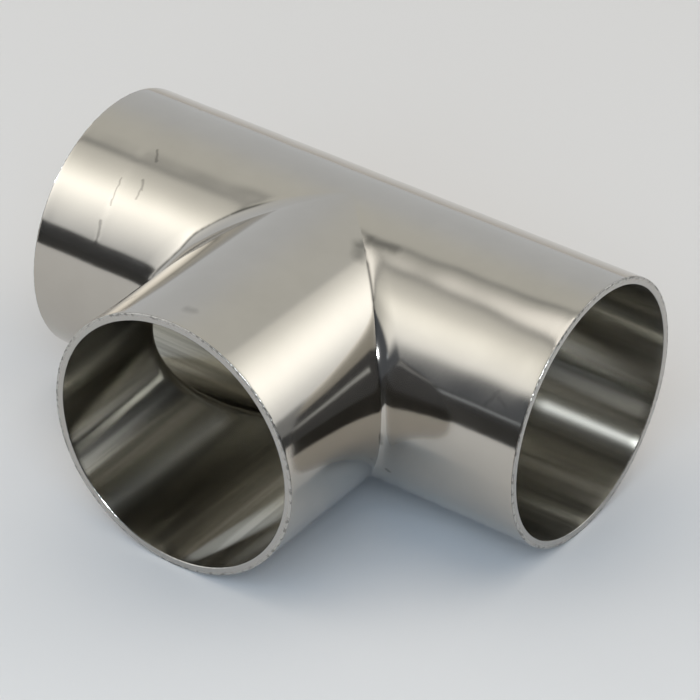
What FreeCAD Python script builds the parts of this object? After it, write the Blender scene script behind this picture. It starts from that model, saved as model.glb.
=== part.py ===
import FreeCAD, Part
import math
import os

# Equal tee for thin-walled stainless tube, in one seamless piece. A straight run lies
# along X and one branch of the same tube leaves it towards -Y. All three ends are plain,
# cut square and open. Millimetres, +Z up, origin where the two tube axes cross.

doc = FreeCAD.newDocument("equal_tee")

# Driving sizes. Every one can be changed by itself.
SIZES = [
    ("tube_outer_diameter", 51.0, "outside of the run and of the branch"),
    ("wall_thickness", 1.5, "the same wall in the run, the branch and the crotch"),
    ("run_length", 105.0, "from one end of the run to the other, centred on the branch"),
    ("branch_reach", 52.5, "from the axis of the run to the mouth of the branch"),
    ("crotch_radius", 3.0, "outside blend where the branch leaves the run"),
    ("edge_break", 0.2, "small bevel on the inner and outer edge of every rim"),
]
sheet = doc.addObject("Spreadsheet::Sheet", "Sizes")
for row, (alias, value, note) in enumerate(SIZES, start=1):
    sheet.set("A%d" % row, alias)
    sheet.set("B%d" % row, str(value))
    sheet.set("C%d" % row, note)
    sheet.setAlias("B%d" % row, alias)
doc.recompute()

# Expressions shared by the sections below.
OUTER = "(Sizes.tube_outer_diameter / 2)"
BORE = "(Sizes.tube_outer_diameter / 2 - Sizes.wall_thickness)"
# The crotch is the skin that a ball leaves as it rolls in the corner between the tubes.
# Its centre keeps this distance from both tube axes, for the outside and for the bore,
# so the wall stays the same all the way round the crotch.
CENTRE = "(Sizes.tube_outer_diameter / 2 + Sizes.crotch_radius)"
# The ball's path is followed a little past the crown of the tubes.
PATH_START = 78.0
PATH_END = 282.0
# Cutting solids reach this much past the faces that they cut.
REACH = 1.2


def add(kind, name, **sizes):
    """A document object with the given properties bound to the sheet."""
    item = doc.addObject(kind, name)
    for prop, expression in sizes.items():
        item.setExpression(prop, expression)
    return item


def cylinder(name, radius, length, rotation, shift=None):
    """A round bar along the turned Z axis, slid along the world's X where shift is given."""
    item = add("Part::Cylinder", name, Radius=radius, Height=length)
    item.Placement = FreeCAD.Placement(FreeCAD.Vector(0, 0, 0), rotation)
    if shift is not None:
        item.setExpression("Placement.Base.x", shift)
    return item


def vee(name, half_width, depth, tall, turn=0.0):
    """An upright triangular prism, its edge on the Z axis, opening towards -Y."""
    item = add(
        "Part::Wedge", name,
        Xmin="-" + half_width, Xmax=half_width,
        Ymin="-" + depth, Ymax="0",
        Zmin="-" + tall, Zmax=tall,
        X2min="0", X2max="0",
        Z2min="-" + tall, Z2max=tall,
    )
    item.Placement.Rotation = FreeCAD.Rotation(FreeCAD.Vector(0, 0, 1), turn)
    return item


def boolean(kind, name, base, tool):
    item = doc.addObject(kind, name)
    item.Base = base
    item.Tool = tool
    return item


def crotch(name, radius):
    """
    The fill of the right-hand corner, between the two upright planes through the Z axis
    where the rolling ball touches the run and the branch.
    The ball's centre runs on an ellipse in the upright plane halfway between the tubes.
    """
    halfway = FreeCAD.Matrix(
        -math.sqrt(0.5), 0, math.sqrt(0.5), 0,
        math.sqrt(0.5), 0, math.sqrt(0.5), 0,
        0, 1, 0, 0,
        0, 0, 0, 1,
    )
    oval = add(
        "Part::Ellipse", name + "_oval",
        MajorRadius=CENTRE + " * sqrt(2)", MinorRadius=CENTRE,
    )
    oval.Placement = FreeCAD.Placement(halfway)
    block = add(
        "Part::Extrusion", name + "_block",
        LengthFwd=CENTRE, LengthRev=CENTRE,
    )
    block.Base = oval
    block.DirMode = "Custom"
    block.Dir = FreeCAD.Vector(1, 1, 0)
    block.Solid = True
    wedge = vee(
        name + "_wedge",
        "((%s - %s) * sqrt(0.5) * %g)" % (CENTRE, radius, REACH),
        "((%s + %s) * sqrt(0.5) * %g)" % (CENTRE, radius, REACH),
        "(%s * 2)" % CENTRE,
        45.0,
    )
    path = add(
        "Part::Ellipse", name + "_path",
        MajorRadius=CENTRE + " * sqrt(2)", MinorRadius=CENTRE,
        Angle1=str(PATH_START), Angle2=str(PATH_END),
    )
    path.Placement = FreeCAD.Placement(halfway)
    # The ball's section stands square to the path at its upper end, and its circle starts
    # at the point farthest from the tubes.
    start = math.radians(PATH_START)
    along = FreeCAD.Vector(math.sin(start), -math.sin(start), math.cos(start))
    outward = FreeCAD.Vector(-math.cos(start), math.cos(start), 2 * math.sin(start))
    ball = add(
        "Part::Circle", name + "_ball",
        Radius="%s - %s" % (CENTRE, radius),
    )
    ball.Placement.Rotation = FreeCAD.Rotation(
        outward, FreeCAD.Vector(), along, "ZXY"
    )
    ball.setExpression("Placement.Base.x", "%s * %.12f" % (CENTRE, -math.cos(start)))
    ball.setExpression("Placement.Base.y", "%s * %.12f" % (CENTRE, math.cos(start)))
    ball.setExpression("Placement.Base.z", "%s * %.12f" % (CENTRE, math.sin(start)))
    roll = doc.addObject("Part::Sweep", name + "_roll")
    roll.Sections = [ball]
    roll.Spine = (path, ["Edge1"])
    roll.Solid = True
    corner = boolean("Part::Common", name + "_corner", wedge, block)
    return boolean("Part::Cut", name, corner, roll)


def blended_tee(name, radius, overrun):
    """
    The run and the branch as solid bars of one radius, joined through the two crotches.
    The run, the branch and each crotch meet face to face on upright planes through Z.
    """
    run = cylinder(
        name + "_run_bar", radius,
        "Sizes.run_length + 2 * %g" % overrun,
        FreeCAD.Rotation(FreeCAD.Vector(0, 1, 0), 90),
        "-Sizes.run_length / 2 - %g" % overrun,
    )
    branch = cylinder(
        name + "_branch_bar", radius,
        "Sizes.branch_reach + %g" % overrun,
        FreeCAD.Rotation(FreeCAD.Vector(1, 0, 0), 90),
    )
    tall = "(%s * 2)" % CENTRE
    near = "(%s * %g)" % (radius, REACH)
    far = "(%s * %g)" % (CENTRE, REACH)
    notch = vee(name + "_run_notch", far, near, tall)
    run_piece = boolean("Part::Cut", name + "_run", run, notch)
    # The branch's own vee has to reach past its mouth, whichever of the two is longer.
    stretch = "(max(%s; Sizes.branch_reach) * 2 / %s)" % (CENTRE, CENTRE)
    keep = vee(
        name + "_branch_vee",
        "(%s * %s)" % (radius, stretch),
        "(%s * %s)" % (CENTRE, stretch),
        tall,
    )
    branch_piece = boolean("Part::Common", name + "_branch", branch, keep)
    right = crotch(name + "_crotch", radius)
    left = doc.addObject("Part::Mirroring", name + "_crotch_left")
    left.Source = right
    left.Normal = FreeCAD.Vector(1, 0, 0)
    whole = doc.addObject("Part::MultiFuse", name)
    whole.Shapes = [run_piece, branch_piece, right, left]
    whole.Refine = True
    return whole


# Outside and bore are the same form at two radii, and the bore runs out past the mouths.
outside = blended_tee("outside", OUTER, 0.0)
inside = blended_tee("bore", BORE, 2.0)
shell = boolean("Part::Cut", "shell", outside, inside)
doc.recompute()

# Every rim has its inner and outer edge just broken.
half_run = float(sheet.run_length) / 2
reach = float(sheet.branch_reach)
bevel = float(sheet.edge_break)
rims = []
for number, edge in enumerate(shell.Shape.Edges, start=1):
    box = edge.BoundBox
    on_run_end = box.XLength < 1e-6 and abs(abs(box.XMin) - half_run) < 1e-6
    on_branch_mouth = box.YLength < 1e-6 and abs(box.YMin + reach) < 1e-6
    if on_run_end or on_branch_mouth:
        rims.append((number, bevel, bevel))
tee = doc.addObject("Part::Chamfer", "tee_body")
tee.Base = shell
tee.Edges = rims
tee.Label = "tee_body"
doc.recompute()

for item in doc.Objects:
    if "Invalid" in item.State or "Error" in item.State:
        raise RuntimeError("%s did not build: %s" % (item.Name, item.State))
shape = tee.Shape
if shape.isNull() or not shape.isValid() or len(shape.Solids) != 1:
    raise RuntimeError("tee_body is not one valid solid")
if len(rims) != 6:
    raise RuntimeError("expected six rim edges, found %d" % len(rims))

os.makedirs("parts", exist_ok=True)
shape.exportStep("parts/tee_body.step")
print("tee_body volume %.1f mm3, %d faces" % (shape.Volume, len(shape.Faces)))
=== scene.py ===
import math

import bmesh
import bpy
import numpy as np
from mathutils import Matrix, Vector


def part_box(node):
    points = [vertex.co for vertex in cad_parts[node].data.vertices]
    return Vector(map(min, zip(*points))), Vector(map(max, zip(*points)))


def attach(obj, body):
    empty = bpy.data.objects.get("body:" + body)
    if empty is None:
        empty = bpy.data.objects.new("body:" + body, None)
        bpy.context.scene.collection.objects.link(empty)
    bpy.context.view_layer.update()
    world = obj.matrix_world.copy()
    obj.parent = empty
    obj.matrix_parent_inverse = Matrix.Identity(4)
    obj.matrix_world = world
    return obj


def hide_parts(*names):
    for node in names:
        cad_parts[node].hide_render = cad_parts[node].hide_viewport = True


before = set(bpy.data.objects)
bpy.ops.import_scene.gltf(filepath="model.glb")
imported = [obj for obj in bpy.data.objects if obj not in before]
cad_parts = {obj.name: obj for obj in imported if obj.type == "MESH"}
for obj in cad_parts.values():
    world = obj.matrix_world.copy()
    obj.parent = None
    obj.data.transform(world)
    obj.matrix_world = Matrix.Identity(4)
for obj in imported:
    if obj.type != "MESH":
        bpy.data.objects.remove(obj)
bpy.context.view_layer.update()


# Camera. A long lens from the front right and above, turned a little about its own axis,
# so that both open mouths and the near crotch show.
MM = 0.001
CAMERA_PLACE = Vector((333.27, -490.12, 395.28)) * MM
CAMERA_AZIMUTH = math.radians(34.146)
CAMERA_ELEVATION = math.radians(34.256)
CAMERA_ROLL = math.radians(1.937)
CAMERA_LENS = 202.0
SENSOR_WIDTH = 36.0


def direction(azimuth, elevation):
    """The unit vector at an azimuth turned from -Y towards +X and an elevation."""
    return Vector((
        math.sin(azimuth) * math.cos(elevation),
        -math.cos(azimuth) * math.cos(elevation),
        math.sin(elevation),
    ))


camera_data = bpy.data.cameras.new("camera")
camera_data.lens = CAMERA_LENS
camera_data.sensor_width = SENSOR_WIDTH
camera_data.clip_start = 0.01
camera_data.clip_end = 20.0
camera = bpy.data.objects.new("camera", camera_data)
bpy.context.scene.collection.objects.link(camera)
backwards = direction(CAMERA_AZIMUTH, CAMERA_ELEVATION)
level_right = Vector((math.cos(CAMERA_AZIMUTH), math.sin(CAMERA_AZIMUTH), 0.0))
level_up = backwards.cross(level_right)
camera_right = math.cos(CAMERA_ROLL) * level_right + math.sin(CAMERA_ROLL) * level_up
camera_up = math.cos(CAMERA_ROLL) * level_up - math.sin(CAMERA_ROLL) * level_right
facing = Matrix((camera_right, camera_up, backwards)).transposed().to_4x4()
camera.matrix_world = Matrix.Translation(CAMERA_PLACE) @ facing
bpy.context.scene.camera = camera
bpy.context.scene.view_settings.view_transform = "Standard"


# Studio light. A pale room with a soft lamp on the left, one behind on the right and an even
# one overhead in a dark frame. The camera's side is unlit but for two small lamps.
ROOM_LOW = (0.66, 0.695, 0.73)
ROOM_HIGH = (0.7, 0.713, 0.68)
LAMP_COLOUR = (1.17, 1.165, 1.11)
OVERHEAD_COLOUR = (1.62, 1.62, 1.58)
FRAME_COLOUR = (0.24, 0.248, 0.253)
UNLIT_SIDE = (0.107, 0.119, 0.138)
SPOT_COLOUR = (0.8, 0.9, 1.0)
HORIZON = (0.06, 0.063, 0.067)
BACKDROP = (0.64, 0.65, 0.66)
# Places are directions in degrees: azimuth 0 is towards -Y and 90 towards +X. A pair of
# places is a soft edge, from where something starts to where it is full. A pair with a
# number is a change by that much over the edge.
WALL_TURNS_WARM = (25.0, 55.0)
LEFT_LAMP = {"azimuth": -46.0, "elevation": 38.0, "gain": 1.35}
LEFT_LAMP_SPREAD = {"left": 38.0, "right": 40.0, "down": 24.0, "up": 15.0}
RIGHT_LAMP = {"azimuth": 143.0, "elevation": 32.0, "gain": 1.15}
RIGHT_LAMP_SPREAD = {"left": 22.0, "right": 24.0, "down": 17.0, "up": 17.0}
LEFT_LAMP_DIMMED = ((-48.0, -31.0), -0.5)
RIGHT_LAMP_END = (171.0, 166.0)
UNLIT_LEFT_LOW = (-34.0, -26.5)
UNLIT_LEFT_HIGH = (-20.0, -8.0)
UNLIT_LEFT_STEP = (36.0, 24.0)
UNLIT_RIGHT = (128.0, 120.0)
UNLIT_RIGHT_LEAN = 1.6
UNLIT_RIGHT_FOOT = 20.0
CAMERA_SIDE = ((-50.0, -15.0), (132.0, 118.0))
CAMERA_SIDE_RAISED = 15.0
OVERHEAD_EDGE = (61.5, 66.0)
RAIL = {"height": 59.0, "width": 1.6, "depth": 0.7, "start": (-140.0, -130.0)}
RAIL_LIFT = ((-110.0, -70.0), 4.3)
RAIL_DROP = ((-60.0, 0.0), -2.5)
UPRIGHT = {"azimuth": -90.0, "width": 6.0, "depth": 0.65}
UPRIGHT_ENDS = ((34.0, 44.0), (60.0, 58.5))
HORIZON_TOP = (11.5, 9.5)
HORIZON_ENDS = ((-41.0, -37.0), (172.0, 160.0))
HORIZON_PALER = ((110.0, 130.0), -0.3)
LIGHT_LINE = {"elevation": 8.2, "width": 0.9, "gain": 0.45}
LIGHT_LINE_ENDS = ((-32.0, -29.0), (-18.0, -22.0))
SMALL_LAMPS = (((62.0, 34.0), 3.2, 1.4), ((-9.0, 29.0), 2.6, 0.45))


def math_node(tree, operation, first, second=None, third=None):
    """A Math node's output. Each input is a socket or a number."""
    node = tree.nodes.new("ShaderNodeMath")
    node.operation = operation
    for slot, value in zip(node.inputs, (first, second, third)):
        if isinstance(value, bpy.types.NodeSocket):
            tree.links.new(value, slot)
        elif value is not None:
            slot.default_value = value
    return node.outputs[0]


def vector_node(tree, operation, first, second=None, scale=None, output=0):
    """A Vector Math node's output. Each input is a socket or three numbers."""
    node = tree.nodes.new("ShaderNodeVectorMath")
    node.operation = operation
    for slot, value in zip(node.inputs, (first, second)):
        if isinstance(value, bpy.types.NodeSocket):
            tree.links.new(value, slot)
        elif value is not None:
            slot.default_value = value
    if scale is not None:
        tree.links.new(scale, node.inputs["Scale"])
    return node.outputs[output]


def rise(tree, value, start, end):
    """A smooth step from 0 at start to 1 at end."""
    node = tree.nodes.new("ShaderNodeMapRange")
    node.interpolation_type = "SMOOTHSTEP"
    tree.links.new(value, node.inputs["Value"])
    node.inputs["From Min"].default_value = start
    node.inputs["From Max"].default_value = end
    if start > end:
        node.inputs["From Min"].default_value = end
        node.inputs["From Max"].default_value = start
        node.inputs["To Min"].default_value = 1.0
        node.inputs["To Max"].default_value = 0.0
    return node.outputs["Result"]


def product(tree, *values):
    """All the values multiplied together."""
    result = values[0]
    for value in values[1:]:
        result = math_node(tree, "MULTIPLY", result, value)
    return result


def painted_over(tree, below, colour, mask):
    """The colour laid over what is below, where the mask is 1."""
    node = tree.nodes.new("ShaderNodeMix")
    node.data_type = "RGBA"
    tree.links.new(mask, node.inputs["Factor"])
    if isinstance(below, bpy.types.NodeSocket):
        tree.links.new(below, node.inputs["A"])
    else:
        node.inputs["A"].default_value = (*below, 1.0)
    if isinstance(colour, bpy.types.NodeSocket):
        tree.links.new(colour, node.inputs["B"])
    else:
        node.inputs["B"].default_value = (*colour, 1.0)
    return node.outputs["Result"]


def added(tree, below, colour, amount):
    """The colour times the amount, added to what is below."""
    return vector_node(tree, "ADD", below, vector_node(tree, "SCALE", colour, scale=amount))


def bell(tree, value, middle, below, above=None):
    """exp(-((value - middle) / width) squared), with a width below and one above."""
    offset = math_node(tree, "SUBTRACT", value, middle)
    lower = math_node(tree, "DIVIDE", math_node(tree, "MINIMUM", offset, 0.0), below)
    upper = math_node(tree, "DIVIDE", math_node(tree, "MAXIMUM", offset, 0.0), above or below)
    scaled = math_node(tree, "ADD", lower, upper)
    squared = math_node(tree, "MULTIPLY", scaled, scaled)
    return math_node(tree, "EXPONENT", math_node(tree, "MULTIPLY", squared, -1.0))


def lamp_glow(tree, azimuth, elevation, lamp, spread):
    """A soft lamp's brightness: a bell each way, times its gain."""
    return product(
        tree,
        bell(tree, azimuth, lamp["azimuth"], spread["left"], spread["right"]),
        bell(tree, elevation, lamp["elevation"], spread["down"], spread["up"]),
        lamp["gain"],
    )


def changed(tree, amount, place, change):
    """The amount with a change by the second number over the first pair of places."""
    edge, by = change
    return math_node(tree, "MULTIPLY_ADD", rise(tree, place, *edge), by, amount)


def between(tree, value, ends):
    """1 between the two soft edges and 0 beyond them."""
    return product(tree, rise(tree, value, *ends[0]), rise(tree, value, *ends[1]))


def build_room_light():
    """The world's colour in each direction, painted from the walls forwards."""
    world = bpy.data.worlds.new("studio")
    bpy.context.scene.world = world
    world.use_nodes = True
    tree = world.node_tree
    tree.nodes.clear()
    looking = tree.nodes.new("ShaderNodeTexCoord").outputs["Generated"]
    split = tree.nodes.new("ShaderNodeSeparateXYZ")
    tree.links.new(looking, split.inputs[0])
    x, y, z = split.outputs
    degrees = 180.0 / math.pi
    back = math_node(tree, "MULTIPLY", y, -1.0)
    azimuth = math_node(tree, "MULTIPLY", math_node(tree, "ARCTAN2", x, back), degrees)
    elevation = math_node(tree, "MULTIPLY", math_node(tree, "ARCSINE", z), degrees)

    light = painted_over(tree, ROOM_LOW, ROOM_HIGH, rise(tree, elevation, *WALL_TURNS_WARM))

    glow = lamp_glow(tree, azimuth, elevation, LEFT_LAMP, LEFT_LAMP_SPREAD)
    dimming = changed(tree, 1.0, azimuth, LEFT_LAMP_DIMMED)
    light = added(tree, light, LAMP_COLOUR, product(tree, glow, dimming))
    glow = lamp_glow(tree, azimuth, elevation, RIGHT_LAMP, RIGHT_LAMP_SPREAD)
    far_edge = rise(tree, azimuth, *RIGHT_LAMP_END)
    light = added(tree, light, LAMP_COLOUR, product(tree, glow, far_edge))

    # The unlit side reaches from the left lamp's right edge round to the right lamp. The
    # left lamp's upper part reaches further over it than its lower part, and so does the
    # right lamp's.
    upper_edge = math_node(
        tree, "MAXIMUM",
        rise(tree, azimuth, *UNLIT_LEFT_HIGH), rise(tree, elevation, *UNLIT_LEFT_STEP),
    )
    above_foot = math_node(tree, "SUBTRACT", elevation, UNLIT_RIGHT_FOOT)
    above_foot = math_node(tree, "MAXIMUM", above_foot, 0.0)
    leaning = math_node(tree, "MULTIPLY_ADD", above_foot, UNLIT_RIGHT_LEAN, azimuth)
    unlit = product(
        tree,
        rise(tree, azimuth, *UNLIT_LEFT_LOW),
        upper_edge,
        rise(tree, leaning, *UNLIT_RIGHT),
    )
    light = painted_over(tree, light, UNLIT_SIDE, unlit)

    # The overhead lamp in its dark frame, which ends higher up on the camera's side, and
    # an upright bar between the frame and the left lamp.
    near_side = between(tree, azimuth, CAMERA_SIDE)
    lowered = math_node(tree, "MULTIPLY_ADD", near_side, -CAMERA_SIDE_RAISED, elevation)
    light = painted_over(tree, light, OVERHEAD_COLOUR, rise(tree, lowered, *OVERHEAD_EDGE))
    rail_height = changed(tree, RAIL["height"], azimuth, RAIL_LIFT)
    rail_height = changed(tree, rail_height, azimuth, RAIL_DROP)
    rail = product(
        tree,
        bell(tree, math_node(tree, "SUBTRACT", lowered, rail_height), 0.0, RAIL["width"]),
        rise(tree, azimuth, *RAIL["start"]),
        RAIL["depth"],
    )
    light = painted_over(tree, light, FRAME_COLOUR, rail)
    upright = product(
        tree,
        bell(tree, azimuth, UPRIGHT["azimuth"], UPRIGHT["width"]),
        between(tree, elevation, UPRIGHT_ENDS),
        UPRIGHT["depth"],
    )
    light = painted_over(tree, light, FRAME_COLOUR, upright)

    # The dark horizon under the lamps, with a thin light line at its left end, and the
    # small lamps on the camera's side.
    horizon = product(
        tree,
        between(tree, azimuth, HORIZON_ENDS),
        rise(tree, elevation, *HORIZON_TOP),
        changed(tree, 1.0, azimuth, HORIZON_PALER),
    )
    light = painted_over(tree, light, HORIZON, horizon)
    line = product(
        tree,
        bell(tree, elevation, LIGHT_LINE["elevation"], LIGHT_LINE["width"]),
        between(tree, azimuth, LIGHT_LINE_ENDS),
        LIGHT_LINE["gain"],
    )
    light = added(tree, light, SPOT_COLOUR, line)
    for place, width, radiance in SMALL_LAMPS:
        spot = product(
            tree,
            bell(tree, azimuth, place[0], width),
            bell(tree, elevation, place[1], width * 0.9),
            radiance,
        )
        light = added(tree, light, SPOT_COLOUR, spot)

    seen = tree.nodes.new("ShaderNodeLightPath").outputs["Is Camera Ray"]
    light = painted_over(tree, light, BACKDROP, seen)
    background = tree.nodes.new("ShaderNodeBackground")
    tree.links.new(light, background.inputs["Color"])
    output = tree.nodes.new("ShaderNodeOutputWorld")
    tree.links.new(background.outputs[0], output.inputs["Surface"])


build_room_light()


# Fill light and glint lamp. The fill stands low on the camera's side, large, cool and weak,
# and only tints the shadows. The glint lamp is a small hot disc beside the camera, which
# draws the sharp light line in the run's mouth and the glint in the crotch.
AREA_LAMP_DISTANCE = 1.2
FILL_POWER = 18.0
FILL_COLOUR = (0.5, 0.72, 1.0)
FILL_SIZE = 1.4
FILL_WAY = Vector((0.4, -0.82, 0.5)).normalized()
GLINT_POWER = 11.5
GLINT_COLOUR = (0.86, 0.93, 1.0)
GLINT_SIZE = 0.08
GLINT_WAY = direction(math.radians(36.0), math.radians(42.0))


def area_lamp(name, power, colour, size, way):
    """An area lamp in the given direction from the origin, which it faces."""
    data = bpy.data.lights.new(name, "AREA")
    data.energy = power
    data.color = colour
    data.size = size
    lamp = bpy.data.objects.new(name, data)
    bpy.context.scene.collection.objects.link(lamp)
    lamp.location = way * AREA_LAMP_DISTANCE
    lamp.rotation_mode = "QUATERNION"
    lamp.rotation_quaternion = way.to_track_quat("Z", "Y")
    return lamp


fill = area_lamp("fill", FILL_POWER, FILL_COLOUR, FILL_SIZE, FILL_WAY)
fill.visible_glossy = False

glint = area_lamp("glint", GLINT_POWER, GLINT_COLOUR, GLINT_SIZE, GLINT_WAY)
glint.data.shape = "DISK"
glint.visible_camera = False
glint.visible_diffuse = False


# Floor. A large sheet of smooth pale paper. A low black strip stands on it round the front
# and the right of the tee, nearest on the camera's right, and only the polished steel
# sees it. Its places are turns from -Y towards +X, in degrees.
low_corner, high_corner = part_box("tee_body")
OUTER_RADIUS = high_corner[2]
FLOOR_HEIGHT = low_corner[2]
FLOOR_HALF = 3.0
FLOOR_STEPS = 25
FLOOR_COLOUR = (0.685, 0.625, 0.57)
STRIP_COLOUR = (0.05, 0.05, 0.05)
PAPER_ROUGHNESS = 0.9
STRIP_DISTANCE = 13.0 * OUTER_RADIUS
STRIP_NEAR = 5.05 * OUTER_RADIUS
STRIP_TOP = 0.7 * OUTER_RADIUS
STRIP_START = -43.0
STRIP_END = 165.0
STRIP_STEPS = 60


def smooth_step(value):
    """3v^2 - 2v^3 for v held between 0 and 1."""
    held = np.clip(value, 0.0, 1.0)
    return held * held * (3.0 - 2.0 * held)


def grid_faces(rows, columns, first=0):
    """Quads of a grid of rows x columns points, as a whole array."""
    index = first + np.arange(rows * columns).reshape(rows, columns)
    corners = (index[:-1, :-1], index[1:, :-1], index[1:, 1:], index[:-1, 1:])
    return np.stack(corners, axis=-1).reshape(-1, 4)


def mesh_object(name, points, faces):
    """An object at the origin that holds the given points and quads."""
    mesh = bpy.data.meshes.new(name)
    mesh.from_pydata(points.reshape(-1, 3).tolist(), [], faces.tolist())
    mesh.update()
    item = bpy.data.objects.new(name, mesh)
    bpy.context.scene.collection.objects.link(item)
    return item


def plain_material(name, colour, roughness):
    """A material of one colour and one roughness."""
    material = bpy.data.materials.new(name)
    material.use_nodes = True
    shader = material.node_tree.nodes["Principled BSDF"]
    shader.inputs["Base Color"].default_value = (*colour, 1.0)
    shader.inputs["Roughness"].default_value = roughness
    return material


def strip_nearness(turn):
    """
    How near the strip comes at a turn, from 0 to 1: it comes near between -30 and 105
    degrees, and 0.3 less near in front, up to 42 degrees.
    """
    near = smooth_step((turn + 30.0) / 20.0) * smooth_step((105.0 - turn) / 25.0)
    return near * (1.0 - 0.3 * smooth_step((42.0 - turn) / 12.0))


side = np.linspace(-FLOOR_HALF, FLOOR_HALF, FLOOR_STEPS)
floor_x, floor_y = np.meshgrid(side, side, indexing="ij")
floor_points = np.stack([floor_x, floor_y, np.full_like(floor_x, FLOOR_HEIGHT)], axis=-1)
floor = mesh_object("floor", floor_points, grid_faces(FLOOR_STEPS, FLOOR_STEPS))
floor.data.materials.append(plain_material("floor_paper", FLOOR_COLOUR, PAPER_ROUGHNESS))

turn = np.linspace(STRIP_START, STRIP_END, STRIP_STEPS)[:, None]
strip_reach = STRIP_DISTANCE + (STRIP_NEAR - STRIP_DISTANCE) * strip_nearness(turn)
strip_height = np.array([FLOOR_HEIGHT, STRIP_TOP])
strip_x = strip_reach * np.sin(np.radians(turn)) + 0 * strip_height
strip_y = -strip_reach * np.cos(np.radians(turn)) + 0 * strip_height
strip_z = 0 * turn + strip_height
strip_points = np.stack([strip_x, strip_y, strip_z], axis=-1)
strip = mesh_object("dark_strip", strip_points, grid_faces(STRIP_STEPS, 2))
strip.data.materials.append(plain_material("black_card", STRIP_COLOUR, PAPER_ROUGHNESS))
strip.visible_camera = False
strip.visible_diffuse = False
strip.visible_shadow = False


# Tee body. One thin-walled tube fitting, a straight run and a branch of the same tube,
# polished bright outside and honed inside. The two crotches are dressed by hand, each with
# a fine crease, and the three ends are sawn square and only deburred.
HALF_RUN = high_corner[0]
BRANCH_REACH = -low_corner[1]
WALL = 1.5 * MM
BORE_RADIUS = OUTER_RADIUS - WALL
BORE_BLEND = 4.5 * MM
RIM_BREAK = 0.2 * MM
RIM_BREAK_SPREAD = 0.09 * MM
RING_DISTANCE = 12.6 * MM
RING_STEP = 0.02 * MM
RING_WIDTH = 0.5 * MM
CREASE_WIDTH = 0.35 * MM
DRAWING_CHANGE = 6.0 * MM
ROLLED_EDGE_WIDTH = 0.8 * MM
ROLLED_EDGE_DROP = 0.018 * MM
WAVE_HEIGHT = 0.006 * MM
WAVELENGTHS = (30, 26, 22, 18, 15, 12, 10, 9)
WAVE_FADE = 3.0 * MM
WELD_GAP = 0.001 * MM
SHARP_EDGE = math.radians(17.0)
# Steps round the front and the back half of a tube, across a blend and round a rim's edge,
# then steps along the run and along the branch, outside and in the bore.
FRONT_STEPS = 180
BACK_STEPS = 120
BLEND_STEPS = 26
RIM_STEPS = 4
SKIN_STEPS = (48, 40)
BORE_STEPS = (14, 12)
FRONT_TURN = np.linspace(0.5 * math.pi, 1.5 * math.pi, FRONT_STEPS + 1)
BACK_TURN = np.linspace(-0.5 * math.pi, 0.5 * math.pi, BACK_STEPS + 1)
X_AXIS, Y_AXIS, Z_AXIS = np.eye(3)
MOUTH_CROWDING = 1.25
EXTRA_BY_CROTCH = (0.005, 0.011, 0.018)
EXTRA_BY_RING = np.linspace(-0.02, 0.02, 9)
BLEND_FULLNESS = 2.4
STEEL_DARK = (0.488, 0.456, 0.409)
STEEL_LIGHT = (0.557, 0.52, 0.467)
SAWN_STEEL = (0.5, 0.48, 0.45)
SAWN_FACE = 0.4
# Near-black for the nicks, ticks and rim specks, and for the painted shade along the creases and
# in the right crotch's corner.
MARK_AND_SHADE_COLOUR = (0.1, 0.095, 0.085)
# Marks on the run are places along it and round it, up from the front, in mm; the last of
# them is painted shade low in the right crotch's corner. Marks by the crotch and on the
# branch are places in space, in mm: the first four are painted shade along the right
# crotch's corner and at its crown, the last a tick on the branch. Then half width and depth.
RUN_MARKS = (
    ((-37.3, 31.9, 0), (-35.8, 29.7, 0), 0.5, 0.5),
    ((-35.9, 25.2, 0), (-35.1, 23.4, 0), 0.5, 0.45),
    ((-35.3, 23.6, 0), (-35.2, 21.4, 0), 0.35, 0.4),
    ((-40.0, 24.0, 0), (-39.6, 18.6, 0), 0.3, 0.4),
    ((-40.1, 15.4, 0), (-39.7, 11.4, 0), 0.5, 0.5),
    ((44.6, 11.6, 0), (46.2, 14.7, 0), 0.6, 0.15),
    ((45.6, 14.0, 0), (48.2, 12.9, 0), 0.6, 0.15),
    ((25.3, -11.0, 0), (25.6, -11.5, 0), 0.7, 0.6),
)
CROTCH_SHADE_AND_MARKS = (
    ((11.0, -13.0, 22.9), (9.7, -11.0, 23.5), 2.4, 0.45),
    ((9.7, -11.0, 23.5), (10.2, -8.9, 24.0), 2.0, 0.6),
    ((10.2, -8.9, 24.0), (15.5, -8.6, 24.0), 1.7, 0.5),
    ((25.5, -26.1, -1.6), (25.3, -25.6, -3.7), 0.7, 0.6),
    ((-0.5, -47.6, 25.5), (0.7, -47.3, 25.5), 1.5, 0.25),
)
MARK_SHAKE = (0.8 * MM, 0.8 * MM, 0.8 * MM)
GLOSS = (0.07, 0.13)
BORE_DARK = (0.32, 0.307, 0.265)
BORE_LIGHT = (0.48, 0.46, 0.405)
BORE_ROUGHNESS = 0.22
BRANCH_FINER = -0.05
STREAK_STRETCH = 0.97


def polishing_waves(points):
    """
    The slow unevenness of a hand-polished skin, up to about 0.04 mm: a sum of sine waves
    over space in fixed random directions, each with a height in proportion to its length.
    """
    draw = np.random.default_rng(11)
    total = np.zeros(points.shape[:-1])
    for wavelength in WAVELENGTHS:
        way = draw.normal(size=3)
        way /= np.linalg.norm(way)
        phase = draw.uniform(0.0, 2.0 * math.pi)
        wave = np.sin(points @ (way * 2.0 * math.pi / (wavelength * MM)) + phase)
        total += wave * (wavelength / 18.0)
    return WAVE_HEIGHT * total


def end_wear(distance, ring):
    """
    How far the outer skin stands off at a distance from a mouth: a fine sizing ring,
    where there is one, and the last stretch rolled slightly inwards by deburring.
    """
    rolled = np.clip(1.0 - distance / ROLLED_EDGE_WIDTH, 0.0, 1.0)
    offset = -ROLLED_EDGE_DROP * rolled * rolled
    if ring:
        past = smooth_step((distance - RING_DISTANCE) / RING_WIDTH)
        offset = offset - RING_STEP * (1.0 - past)
    return offset


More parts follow.
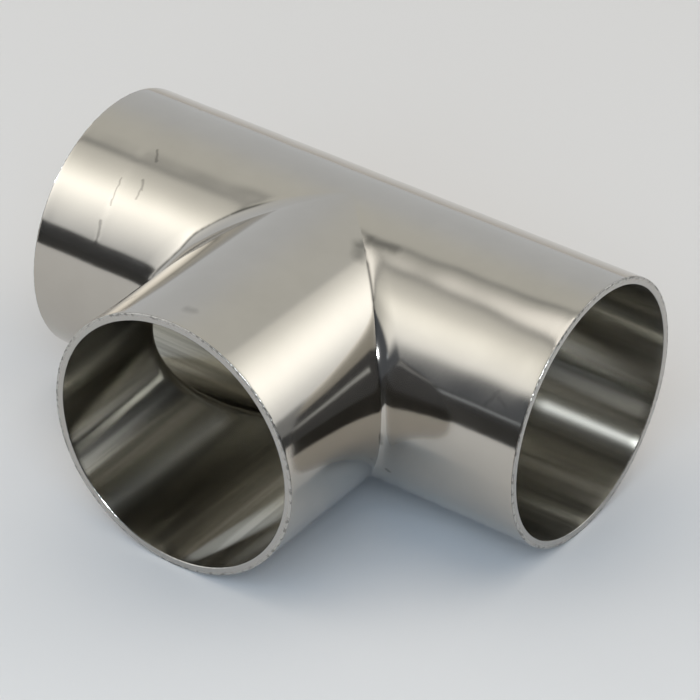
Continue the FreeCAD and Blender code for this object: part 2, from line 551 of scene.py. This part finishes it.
def spread(count, ring=None):
    """
    Fractions from 0 at the crotch to 1 at the mouth, closer together near the mouth,
    and closer still by the crotch and about a ring where there is one.
    """
    even = np.linspace(0.0, 1.0, count + 1)
    eased = 1.0 - (1.0 - even) ** MOUTH_CROWDING
    extra = EXTRA_BY_CROTCH
    if ring is not None:
        extra = np.concatenate([extra, ring + EXTRA_BY_RING])
    return np.unique(np.concatenate([eased, extra]))


def tube_patch(angle, start, end, fractions, along, across, outward):
    """
    A patch of tube wall as a grid of angle by fraction. The tube's axis is the unit
    vector along, the angle turns from across towards +Z, and each row runs from its
    own start to its own end along the axis.
    """
    distance = start[:, None] + (end - start)[:, None] * fractions
    radial = np.cos(angle)[:, None] * across + np.sin(angle)[:, None] * Z_AXIS
    points = distance[..., None] * along + outward * radial[:, None, :]
    normals = np.broadcast_to(radial[:, None, :], points.shape)
    return points, normals, distance


def right_crotch(width):
    """
    Control points of the right-hand blend in each level section, as distances along the
    run and along the branch from the sharp corner. The blend leaves the run gently, up to
    4.3 mm out, turns on a radius of 2 to 3 mm and meets the branch at a fine seam. Width
    is the corner's half width as a share of the radius, 0 at the crown and 1 halfway down,
    where the blend narrows to half.
    """
    narrowing = 1.0 - 0.5 * smooth_step((width - 0.88) / 0.105)
    full = np.tanh(BLEND_FULLNESS * width) * narrowing * MM
    seam = (0.3 + 0.7 * smooth_step((width - 0.6) / 0.28)) * full
    nil = 0.0 * full
    return [[(4.4 * full, nil), (2.3 * full, nil), (0.8 * full, 0.3 * seam), (nil, 0.95 * seam)]]


def left_crotch(width):
    """
    The left-hand blend, in two parts. The first eases off the run to a crease, up to
    2.9 mm from the corner, and the second sweeps from the crease up to 4 mm along the
    branch.
    """
    full = np.tanh(BLEND_FULLNESS * width) * MM
    narrow = smooth_step((width - 0.7) / 0.12) - smooth_step((width - 0.84) / 0.14)
    crease = (2.9 - 0.9 * narrow) * full
    dip = 0.12 * full
    nil = 0.0 * full
    ease = [(5.6 * full, nil), (crease + 0.9 * full, nil), (crease, dip)]
    sweep = [(crease, dip), (nil, dip + 0.53 * crease), (nil, 4.0 * full)]
    return [ease, sweep]


def bore_crotch(width):
    """The blend inside: one even sweep, in proportion to the corner's half width."""
    reach = BORE_BLEND * width
    nil = 0.0 * reach
    return [[(reach, nil), (nil, nil), (nil, reach)]]


def bezier(controls, step):
    """
    Points of a Bezier curve: each control point weighted by its Bernstein polynomial.
    The control points are pairs of arrays over height, and the result is a pair of
    grids of height by step.
    """
    order = len(controls) - 1
    weights = [
        math.comb(order, k) * step ** k * (1.0 - step) ** (order - k)
        for k in range(order + 1)
    ]
    on_run = sum(point[0][:, None] * weight for point, weight in zip(controls, weights))
    on_branch = sum(point[1][:, None] * weight for point, weight in zip(controls, weights))
    return on_run, on_branch


def blend_patch(angle, radius, controls, part, parts, mirror):
    """
    One part of a crotch blend as a grid of angle by step: a Bezier curve in each level
    section, measured from the corner where the two tube walls would meet square. The
    direction in which its wear is laid on turns evenly from the run's to the branch's
    over all the parts, so that they share it where they meet.
    """
    corner = radius * np.abs(np.cos(angle))
    step = np.linspace(0.0, 1.0, BLEND_STEPS + 1)
    share = (part + step) / parts
    on_run, on_branch = bezier(controls, step)
    x = corner[:, None] + on_run
    y = -corner[:, None] - on_branch
    z = radius * np.sin(angle)[:, None] + 0.0 * x
    across = np.stack([np.abs(np.cos(angle)), np.cos(angle)], -1)[:, None, :]
    turned = np.stack([share, 1.0 - share], -1)[None, :, :] * across
    up = np.sin(angle)[:, None, None] + 0.0 * x[..., None]
    normals = np.concatenate([turned, up], axis=-1)
    normals /= np.linalg.norm(normals, axis=-1, keepdims=True)
    points = np.stack([x, y, z], -1)
    side = np.array([-1.0, 1.0, 1.0]) if mirror else np.ones(3)
    return points * side, normals * side


def crease_line(angle, radius, offset, sign):
    """The point of the crease in each level section, offset from the sharp corner."""
    corner = radius * np.abs(np.cos(angle))
    x = sign * (corner + offset[0])
    return np.stack([x, -corner - offset[1], radius * np.sin(angle)], axis=-1)


def crease_shadow(points, line):
    """
    How much painted shade darkens the skin by the crease, from 0 to 1: a bell over the
    distance from the crease in the same level section, faded out towards the crown and
    towards the half height.
    """
    gap = np.linalg.norm(points - line[:, None, :], axis=-1)
    height = line[:, None, 2] / OUTER_RADIUS
    share = smooth_step((0.95 - height) / 0.05) * smooth_step((height - 0.2) / 0.15)
    return np.exp(-(gap / CREASE_WIDTH) ** 2) * share


def skin(radius, blends, end_gap, counts, outer):
    """
    All patches of the outer or the inner wall, up to end_gap short of each mouth, each
    with its crease shadow. The front half of the run has a left and a right part that
    meet at the crown, the branch has a left and a right half, and the back half of the
    run is plain.
    """
    front, back = FRONT_TURN, BACK_TURN
    width = np.abs(np.cos(front))
    run_end, branch_end = HALF_RUN - end_gap, BRANCH_REACH - end_gap
    patches = []
    ring = 1.0 - RING_DISTANCE / HALF_RUN if outer else None
    fractions = {
        "right": spread(counts[0]),
        "left": spread(counts[0], ring),
        "branch": spread(counts[1]),
    }
    for side_name, sign in (("right", 1.0), ("left", -1.0)):
        parts = blends[side_name](width)
        crease = parts[-1][-1] if sign > 0 else parts[0][-1]
        line = crease_line(front, radius, crease, sign)
        start = radius * width + parts[0][0][0]
        points, normals, distance = tube_patch(
            front, start, np.full_like(start, run_end), fractions[side_name],
            sign * X_AXIS, Y_AXIS, radius,
        )
        shadow = crease_shadow(points, line)
        patches.append((points, normals, HALF_RUN - distance, side_name == "left", shadow))
        start = radius * width + parts[-1][-1][1]
        points, normals, distance = tube_patch(
            front, start, np.full_like(start, branch_end), fractions["branch"],
            -Y_AXIS, -sign * X_AXIS, radius,
        )
        shadow = crease_shadow(points, line)
        patches.append((points, normals, BRANCH_REACH - distance, False, shadow))
        for part, controls in enumerate(parts):
            points, normals = blend_patch(front, radius, controls, part, len(parts), sign < 0)
            far = np.full(points.shape[:-1], HALF_RUN)
            patches.append((points, normals, far, False, crease_shadow(points, line)))
        points, normals, distance = tube_patch(
            back, np.zeros_like(back), np.full_like(back, run_end), fractions[side_name],
            sign * X_AXIS, Y_AXIS, radius,
        )
        plain = np.zeros(points.shape[:-1])
        patches.append((points, normals, HALF_RUN - distance, side_name == "left", plain))
    if outer:
        worn = []
        for points, normals, distance, ringed, shadow in patches:
            fade = smooth_step(distance / WAVE_FADE)
            offset = polishing_waves(points) * fade + end_wear(distance, ringed)
            worn.append((points + normals * offset[..., None], shadow))
        return worn
    return [(patch[0], patch[4]) for patch in patches]


def rim_patch(along, across, turns, reach, seed, ring):
    """
    A sawn end as a ring of sections. Each section goes from the outer wall round the
    outer edge, across the flat face and round the inner edge to the bore. The outer
    edge's break varies round the ring by a fixed random amount, as hand deburring does.
    """
    draw = np.random.default_rng(seed)
    bend = np.linspace(0.0, 0.5 * math.pi, RIM_STEPS + 1)
    count = len(turns)
    rough = draw.uniform(-1.0, 1.0, count)
    slow = np.sin(3 * turns + seed) + np.sin(7 * turns + 2 * seed)
    depth = RIM_BREAK + RIM_BREAK_SPREAD * (0.6 * rough + 0.3 * slow)
    depth[-1] = depth[0]
    outer = OUTER_RADIUS + end_wear(0.0, ring)
    radius = outer - depth[:, None] * (1.0 - np.cos(bend))
    setback = depth[:, None] * (1.0 - np.sin(bend))
    setback[:, 0] = RIM_BREAK
    radius[:, 0] = OUTER_RADIUS + end_wear(RIM_BREAK, ring)
    inner_radius = BORE_RADIUS + RIM_BREAK * (1.0 - np.sin(bend))
    inner_setback = RIM_BREAK * (1.0 - np.cos(bend))
    radius = np.concatenate([radius, np.tile(inner_radius, (count, 1))], axis=1)
    setback = np.concatenate([setback, np.tile(inner_setback, (count, 1))], axis=1)
    radial = np.cos(turns)[:, None] * across + np.sin(turns)[:, None] * Z_AXIS
    points = (reach - setback)[..., None] * along + radius[..., None] * radial[:, None, :]
    return points


def drawing_direction(points):
    """
    The unit vector along the tube that each point belongs to: along Y where the point is
    further out on the branch than to the side, else along X, with a short change between.
    """
    beyond = -points[..., 1] - np.abs(points[..., 0])
    share = smooth_step(0.5 + beyond / DRAWING_CHANGE)
    direction = np.stack([1.0 - share, share, 0.0 * share], axis=-1)
    return direction / np.linalg.norm(direction, axis=-1, keepdims=True)


def build_tee():
    """
    The whole tee as one mesh of patches: the outer skin, the bore and the three sawn ends.
    Each point carries how far it lies on a sawn end, how much painted shade darkens it by
    the crease and which way the tube runs there.
    """
    outer_blends = {"right": right_crotch, "left": left_crotch}
    bore_blends = {"right": bore_crotch, "left": bore_crotch}
    patches = []
    for radius, blends, counts, outer in (
        (OUTER_RADIUS, outer_blends, SKIN_STEPS, True),
        (BORE_RADIUS, bore_blends, BORE_STEPS, False),
    ):
        for points, shadow in skin(radius, blends, RIM_BREAK, counts, outer):
            patches.append((points, np.zeros_like(shadow), shadow, 0 if outer else 1))
    run_turns = np.concatenate([FRONT_TURN, BACK_TURN[1:] + 2.0 * math.pi])
    branch_turns = np.concatenate([FRONT_TURN, FRONT_TURN[1:] + math.pi])
    for along, across, turns, reach, seed, ring in (
        (X_AXIS, Y_AXIS, run_turns, HALF_RUN, 3, False),
        (-X_AXIS, Y_AXIS, run_turns, HALF_RUN, 5, True),
        (-Y_AXIS, X_AXIS, branch_turns, BRANCH_REACH, 8, False),
    ):
        points = rim_patch(along, across, turns, reach, seed, ring)
        sawn = np.ones(points.shape[:-1])
        sawn[:, RIM_STEPS + 1:] = SAWN_FACE
        sawn[:, 0] = 0.0
        sawn[:, -1] = 0.0
        patches.append((points, sawn, np.zeros_like(sawn), 0))
    faces, materials, first = [], [], 0
    for points, sawn, shadow, material in patches:
        rows, columns = points.shape[:2]
        faces.append(grid_faces(rows, columns, first))
        materials.append(np.full(len(faces[-1]), material))
        first += rows * columns
    all_points = np.concatenate([patch[0].reshape(-1, 3) for patch in patches])
    tee = mesh_object("tee", all_points, np.concatenate(faces))
    tee.data.materials.append(polished_steel())
    tee.data.materials.append(bored_steel())
    tee.data.polygons.foreach_set("material_index", np.concatenate(materials))
    for name, kind, field, values in (
        ("cut_edge", "FLOAT", "value", [patch[1].reshape(-1) for patch in patches]),
        ("crease", "FLOAT", "value", [patch[2].reshape(-1) for patch in patches]),
        ("drawing", "FLOAT_VECTOR", "vector", drawing_direction(all_points)),
    ):
        attribute = tee.data.attributes.new(name, kind, "POINT")
        attribute.data.foreach_set(field, np.concatenate(values))
    return tee


def close_up(item):
    """Joins the patches' shared borders, turns all faces outwards and marks sharp edges."""
    shell = bmesh.new()
    shell.from_mesh(item.data)
    bmesh.ops.remove_doubles(shell, verts=shell.verts, dist=WELD_GAP)
    bmesh.ops.dissolve_degenerate(shell, edges=shell.edges, dist=WELD_GAP)
    bmesh.ops.recalc_face_normals(shell, faces=shell.faces)
    shell.to_mesh(item.data)
    shell.free()
    item.data.shade_smooth()
    item.data.set_sharp_from_angle(angle=SHARP_EDGE)


def noise(tree, place, scale, detail=2.0, roughness=0.5):
    """A Noise Texture node at the given place."""
    node = tree.nodes.new("ShaderNodeTexNoise")
    node.inputs["Scale"].default_value = scale
    node.inputs["Detail"].default_value = detail
    node.inputs["Roughness"].default_value = roughness
    tree.links.new(place, node.inputs["Vector"])
    return node


def carried(tree, name, output="Fac"):
    """What the mesh's points carry under the given name."""
    node = tree.nodes.new("ShaderNodeAttribute")
    node.attribute_name = name
    return node.outputs[output]


def relief(tree, height, strength, distance, below=None):
    """A Bump node's normal, on top of the normal below it where there is one."""
    node = tree.nodes.new("ShaderNodeBump")
    node.inputs["Strength"].default_value = strength
    node.inputs["Distance"].default_value = distance
    tree.links.new(height, node.inputs["Height"])
    if below is not None:
        tree.links.new(below, node.inputs["Normal"])
    return node.outputs["Normal"]


def metal_material(name):
    """A bare metal's material, with its tree, its shader and the place on the object."""
    material = bpy.data.materials.new(name)
    material.use_nodes = True
    tree = material.node_tree
    shader = tree.nodes["Principled BSDF"]
    shader.inputs["Metallic"].default_value = 1.0
    place = tree.nodes.new("ShaderNodeTexCoord").outputs["Object"]
    return material, tree, shader, place


def stroke(tree, place, start, end, width):
    """A soft straight mark from start to end: 1 on the line, 0 from one width away on."""
    way = [b - a for a, b in zip(start, end)]
    length_squared = sum(part * part for part in way)
    offset = vector_node(tree, "SUBTRACT", place, start)
    share = math_node(
        tree, "DIVIDE", vector_node(tree, "DOT_PRODUCT", offset, way, output=1), length_squared
    )
    held = math_node(tree, "MINIMUM", math_node(tree, "MAXIMUM", share, 0.0), 1.0)
    along = vector_node(tree, "SCALE", way, scale=held)
    gap = vector_node(tree, "DISTANCE", offset, along, output=1)
    return rise(tree, gap, width, 0.0)


def unrolled_place(tree, place):
    """The run's skin laid flat: metres along the run, and round it up from the front."""
    split = tree.nodes.new("ShaderNodeSeparateXYZ")
    tree.links.new(place, split.inputs[0])
    x, y, z = split.outputs
    angle = math_node(tree, "ARCTAN2", z, math_node(tree, "MULTIPLY", y, -1.0))
    flat = tree.nodes.new("ShaderNodeCombineXYZ")
    tree.links.new(x, flat.inputs["X"])
    tree.links.new(math_node(tree, "MULTIPLY", angle, OUTER_RADIUS), flat.inputs["Y"])
    return flat.outputs[0]


def marks_and_corner_shade(tree, place):
    """
    How dark the few nicks and ticks, and the painted shade along the right crotch's corner
    and crown, make the skin, from 0 to 1. A fine noise shakes the places, so that no
    mark is ruled straight.
    """
    shake = noise(tree, place, 700.0).outputs["Color"]
    centred = vector_node(tree, "SUBTRACT", shake, (0.5, 0.5, 0.5))
    place = vector_node(tree, "ADD", place, vector_node(tree, "MULTIPLY", centred, MARK_SHAKE))
    darkest = 0.0
    for spot, marks in ((unrolled_place(tree, place), RUN_MARKS), (place, CROTCH_SHADE_AND_MARKS)):
        for start, end, width, depth in marks:
            start = [part * MM for part in start]
            end = [part * MM for part in end]
            mark = product(tree, stroke(tree, spot, start, end, width * MM), depth)
            darkest = math_node(tree, "MAXIMUM", mark, darkest)
    return darkest


def polished_steel():
    """
    Bright stainless steel: a soft satin mirror with fine polishing grain. The sawn ends
    are rougher, and chipped and specked along their outer edge. Painted shade darkens the
    skin along the crotches' creases and in the right crotch's corner.
    """
    material, tree, shader, place = metal_material("polished_stainless")
    cloud = noise(tree, place, 110.0, 6.0, 0.6).outputs["Fac"]
    burr = noise(tree, place, 1100.0).outputs["Fac"]
    cut = carried(tree, "cut_edge")
    # Painted shade along the crotches' creases, broken into patches by the cloud noise.
    patchy = math_node(tree, "MULTIPLY_ADD", rise(tree, cloud, 0.42, 0.58), 0.5, 0.4)
    crease = product(tree, carried(tree, "crease"), patchy)
    specks = product(tree, rise(tree, burr, 0.52, 0.6), rise(tree, cut, 0.7, 1.0), 0.6)
    # Painted shade along the creases and in the right crotch's corner, together with the nicks,
    # ticks and rim specks, all towards one near-black.
    dark = math_node(tree, "MAXIMUM", crease, marks_and_corner_shade(tree, place))
    dark = math_node(tree, "MAXIMUM", dark, specks)
    steel = painted_over(tree, STEEL_DARK, STEEL_LIGHT, cloud)
    steel = painted_over(tree, steel, SAWN_STEEL, rise(tree, cut, 0.0, SAWN_FACE))
    steel = painted_over(tree, steel, MARK_AND_SHADE_COLOUR, dark)
    tree.links.new(steel, shader.inputs["Base Color"])

    gloss = tree.nodes.new("ShaderNodeMapRange")
    gloss.inputs["To Min"].default_value = GLOSS[0]
    gloss.inputs["To Max"].default_value = GLOSS[1]
    tree.links.new(cloud, gloss.inputs["Value"])
    rough = math_node(tree, "MULTIPLY_ADD", cut, 0.2, gloss.outputs["Result"])
    tree.links.new(rough, shader.inputs["Roughness"])

    grain = noise(tree, place, 3200.0, 3.0).outputs["Fac"]
    chipped = relief(tree, product(tree, burr, cut), 0.8, 0.25 * MM)
    tree.links.new(relief(tree, grain, 0.1, 0.02 * MM, chipped), shader.inputs["Normal"])
    return material


def bored_steel():
    """
    The bore, honed by a turning flap wheel: fine marks run round it, so that what it
    mirrors is drawn out along the tube. It is darker and browner than the outside,
    streaked lengthways, and a little finer in the branch.
    """
    material, tree, shader, place = metal_material("honed_stainless")
    shader.inputs["Anisotropic"].default_value = 1.0
    drawing = carried(tree, "drawing", "Vector")
    tree.links.new(drawing, shader.inputs["Tangent"])
    along = vector_node(tree, "DOT_PRODUCT", place, drawing, output=1)
    shortening = product(tree, along, STREAK_STRETCH)
    shortened = vector_node(
        tree, "SUBTRACT", place, vector_node(tree, "SCALE", drawing, scale=shortening)
    )
    streaks = noise(tree, shortened, 480.0, 4.0).outputs["Fac"]
    steel = painted_over(tree, BORE_DARK, BORE_LIGHT, rise(tree, streaks, 0.35, 0.65))
    tree.links.new(steel, shader.inputs["Base Color"])
    in_branch = vector_node(tree, "DOT_PRODUCT", drawing, (0.0, 1.0, 0.0), output=1)
    rough = math_node(tree, "MULTIPLY_ADD", in_branch, BRANCH_FINER, BORE_ROUGHNESS)
    tree.links.new(rough, shader.inputs["Roughness"])
    return material


tee = build_tee()
close_up(tee)
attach(tee, "root")
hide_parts("tee_body")
